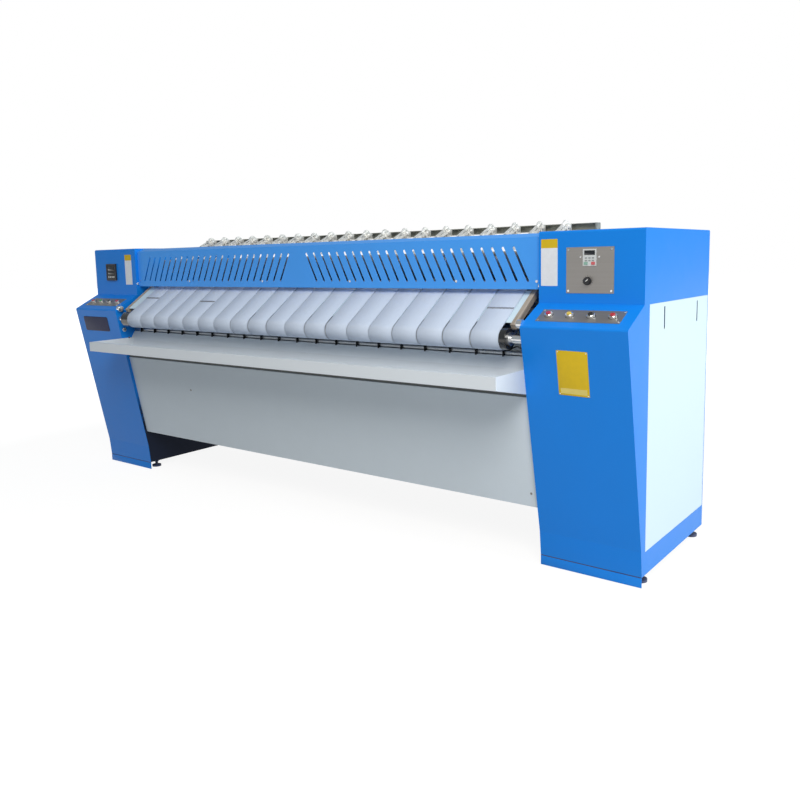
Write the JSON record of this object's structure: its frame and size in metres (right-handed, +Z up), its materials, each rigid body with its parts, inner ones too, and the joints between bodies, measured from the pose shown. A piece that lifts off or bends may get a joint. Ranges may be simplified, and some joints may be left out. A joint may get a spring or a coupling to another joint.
{
  "type": "flatwork ironer",
  "caption": "Flatwork ironer with two end cabinets, a sloping belt feed table, a heated roll wrapped by ironing belts and a front return trough.",
  "frame": {"origin": "middle of the bounding box at floor level", "axes": "+X along the machine to the operator's right, +Y from the feed side to the back, +Z up"},
  "size_m": [3.37, 1.048, 1.35],
  "materials": {
    "cabinet_blue": "satin powder coat",
    "panel_white": "satin powder coat",
    "panel_grey": "matt powder coat",
    "trough_grey": "satin powder coat",
    "frame_dark": "matt primer",
    "feed_cloth": "tight woven felt",
    "ironing_cloth": "needled felt",
    "roll_steel": "polished",
    "roller_steel": "turned",
    "galvanised": "zinc plated",
    "stainless": "brushed",
    "chrome": "polished",
    "cast": "painted casting",
    "heater": "heat tinted",
    "drive_rubber": "matt",
    "rail_wood": "bare",
    "black_plastic": "fine grain",
    "keypad_grey": "fine grain",
    "cap_red": "gloss",
    "cap_green": "gloss",
    "cap_yellow": "gloss",
    "cap_black": "gloss",
    "key_green": "satin",
    "key_red": "satin"
  },
  "bodies": {
    "frame": {"left_side_frame": "cabinet_blue", "right_side_frame": "cabinet_blue", "base_frames": "frame_dark", "levelling_feet": "frame_dark", "cross_beams": "frame_dark", "left_cabinet_shell": "cabinet_blue", "right_cabinet_shell": "cabinet_blue", "trough": "trough_grey", "trough_end_plates": "trough_grey", "lower_front_panel": "panel_grey", "front_cover": "cabinet_blue", "rear_covers": "cabinet_blue", "feed_bed": "panel_white", "feed_side_rails": "rail_wood", "feed_belts": "feed_cloth", "finger_bar": "roller_steel", "scraper_fingers": "stainless", "roll_bearings": "cast", "heater_core": "heater", "heater_tubes": "heater", "ironing_belts": "ironing_cloth", "roller_bearings": "cast", "tension_bar": "galvanised", "tension_brackets": "galvanised", "tension_springs": "galvanised", "gearbox": "cast", "drive_motor": "cast", "drive_belts": "drive_rubber", "deck_plates": "stainless", "button_bezels": "chrome", "instrument_plate": "stainless", "inverter_keypad": "keypad_grey", "temperature_controller": "black_plastic", "cable_gland": "black_plastic", "panel_screws": "chrome"},
    "left_panel": {"left_service_panel": "panel_white"},
    "right_panel": {"right_service_panel": "panel_white"},
    "roll": {"heated_roll": "roll_steel", "roll_ends": "roller_steel", "roll_pulleys": "cast"},
    "nose": {"nose_roller": "roller_steel"},
    "feed_rear": {"rear_feed_roller": "roller_steel"},
    "exit_roller": {"exit_belt_roller": "roller_steel"},
    "front_low_roller": {"front_low_belt_roller": "roller_steel"},
    "rear_low_roller": {"rear_low_belt_roller": "roller_steel"},
    "rear_top_roller": {"rear_top_belt_roller": "roller_steel"},
    "tension_frame": {"tension_arms": "galvanised"},
    "tension_roller_row": {"tension_rollers": "roller_steel"},
    "motor_output": {"motor_pulley": "cast"},
    "run_key_body": {"run_key": "key_green"},
    "stop_key_body": {"stop_key": "key_red"},
    "knob_body": {"speed_knob": "black_plastic"},
    "left_button_body_1": {"left_button_1": "cap_red"},
    "left_button_body_2": {"left_button_2": "cap_green"},
    "left_button_body_3": {"left_button_3": "cap_black"},
    "left_button_body_4": {"left_button_4": "cap_red"},
    "right_button_body_1": {"right_button_1": "cap_red"},
    "right_button_body_2": {"right_button_2": "cap_yellow"},
    "right_button_body_3": {"right_button_3": "cap_black"},
    "right_button_body_4": {"right_button_4": "cap_red"}
  },
  "joints": [
    {"name": "roll_spin", "type": "hinge", "parent": "frame", "child": "roll", "pos_m": [0, 0.156, 0.8], "axis": [-1, 0, 0], "continuous": true},
    {"name": "nose_spin", "type": "hinge", "parent": "frame", "child": "nose", "pos_m": [0, -0.32209, 0.89887], "axis": [-1, 0, 0], "continuous": true},
    {"name": "rear_feed_spin", "type": "hinge", "parent": "frame", "child": "feed_rear", "pos_m": [0, -0.08863, 1.06234], "axis": [-1, 0, 0], "continuous": true},
    {"name": "exit_roller_spin", "type": "hinge", "parent": "frame", "child": "exit_roller", "pos_m": [0, -0.18796, 0.77202], "axis": [-1, 0, 0], "continuous": true},
    {"name": "front_low_roller_spin", "type": "hinge", "parent": "frame", "child": "front_low_roller", "pos_m": [0, -0.144, 0.45], "axis": [-1, 0, 0], "continuous": true},
    {"name": "rear_low_roller_spin", "type": "hinge", "parent": "frame", "child": "rear_low_roller", "pos_m": [0, 0.462, 0.45], "axis": [-1, 0, 0], "continuous": true},
    {"name": "rear_top_roller_spin", "type": "hinge", "parent": "frame", "child": "rear_top_roller", "pos_m": [0, 0.458, 1.178], "axis": [-1, 0, 0], "continuous": true},
    {"name": "tension_swing", "type": "hinge", "parent": "frame", "child": "tension_frame", "pos_m": [0, 0.28, 1.322], "axis": [1, 0, 0], "range_deg": [-2, 3], "stiffness_Nm_per_rad": 20000, "deforming": ["tension_springs", "ironing_belts"]},
    {"name": "tension_roller_spin", "type": "hinge", "parent": "tension_frame", "child": "tension_roller_row", "pos_m": [0, -0.07, 1.19], "axis": [-1, 0, 0], "continuous": true},
    {"name": "motor_output_spin", "type": "hinge", "parent": "frame", "child": "motor_output", "pos_m": [0, 0.065, 0.245], "axis": [-1, 0, 0], "continuous": true},
    {"name": "left_panel_pull", "type": "slide", "parent": "frame", "child": "left_panel", "axis": [-1, 0, 0], "range_m": [0, 0.25]},
    {"name": "right_panel_pull", "type": "slide", "parent": "frame", "child": "right_panel", "axis": [1, 0, 0], "range_m": [0, 0.25]},
    {"name": "left_button_press_1", "type": "slide", "parent": "frame", "child": "left_button_body_1", "axis": [0, 0.4568, -0.8896], "range_m": [0, 0.003], "stiffness_N_per_m": 400},
    {"name": "left_button_press_2", "type": "slide", "parent": "frame", "child": "left_button_body_2", "axis": [0, 0.4568, -0.8896], "range_m": [0, 0.003], "stiffness_N_per_m": 400},
    {"name": "left_button_press_3", "type": "slide", "parent": "frame", "child": "left_button_body_3", "axis": [0, 0.4568, -0.8896], "range_m": [0, 0.003], "stiffness_N_per_m": 400},
    {"name": "left_button_press_4", "type": "slide", "parent": "frame", "child": "left_button_body_4", "axis": [0, 0.4568, -0.8896], "range_m": [0, 0.003], "stiffness_N_per_m": 400},
    {"name": "right_button_press_1", "type": "slide", "parent": "frame", "child": "right_button_body_1", "axis": [0, 0.4568, -0.8896], "range_m": [0, 0.003], "stiffness_N_per_m": 400},
    {"name": "right_button_press_2", "type": "slide", "parent": "frame", "child": "right_button_body_2", "axis": [0, 0.4568, -0.8896], "range_m": [0, 0.003], "stiffness_N_per_m": 400},
    {"name": "right_button_press_3", "type": "slide", "parent": "frame", "child": "right_button_body_3", "axis": [0, 0.4568, -0.8896], "range_m": [0, 0.003], "stiffness_N_per_m": 400},
    {"name": "right_button_press_4", "type": "slide", "parent": "frame", "child": "right_button_body_4", "axis": [0, 0.4568, -0.8896], "range_m": [0, 0.003], "stiffness_N_per_m": 400},
    {"name": "run_key_press", "type": "slide", "parent": "frame", "child": "run_key_body", "axis": [0, 1, 0], "range_m": [0, 0.0008], "stiffness_N_per_m": 400},
    {"name": "stop_key_press", "type": "slide", "parent": "frame", "child": "stop_key_body", "axis": [0, 1, 0], "range_m": [0, 0.0008], "stiffness_N_per_m": 400},
    {"name": "speed_knob_turn", "type": "hinge", "parent": "frame", "child": "knob_body", "pos_m": [1.475, -0.215, 1.108], "axis": [0, 1, 0], "range_deg": [-185, 85]}
  ],
  "couplings": [
    {"joint": "nose_spin", "follows": "roll_spin", "ratio": 6.9767},
    {"joint": "rear_feed_spin", "follows": "roll_spin", "ratio": 6.9767},
    {"joint": "exit_roller_spin", "follows": "roll_spin", "ratio": -9.4375},
    {"joint": "front_low_roller_spin", "follows": "roll_spin", "ratio": -9.4375},
    {"joint": "rear_low_roller_spin", "follows": "roll_spin", "ratio": -9.4375},
    {"joint": "rear_top_roller_spin", "follows": "roll_spin", "ratio": -8.3889},
    {"joint": "tension_roller_spin", "follows": "roll_spin", "ratio": -10.067},
    {"joint": "motor_output_spin", "follows": "roll_spin", "ratio": 3.3333}
  ]
}
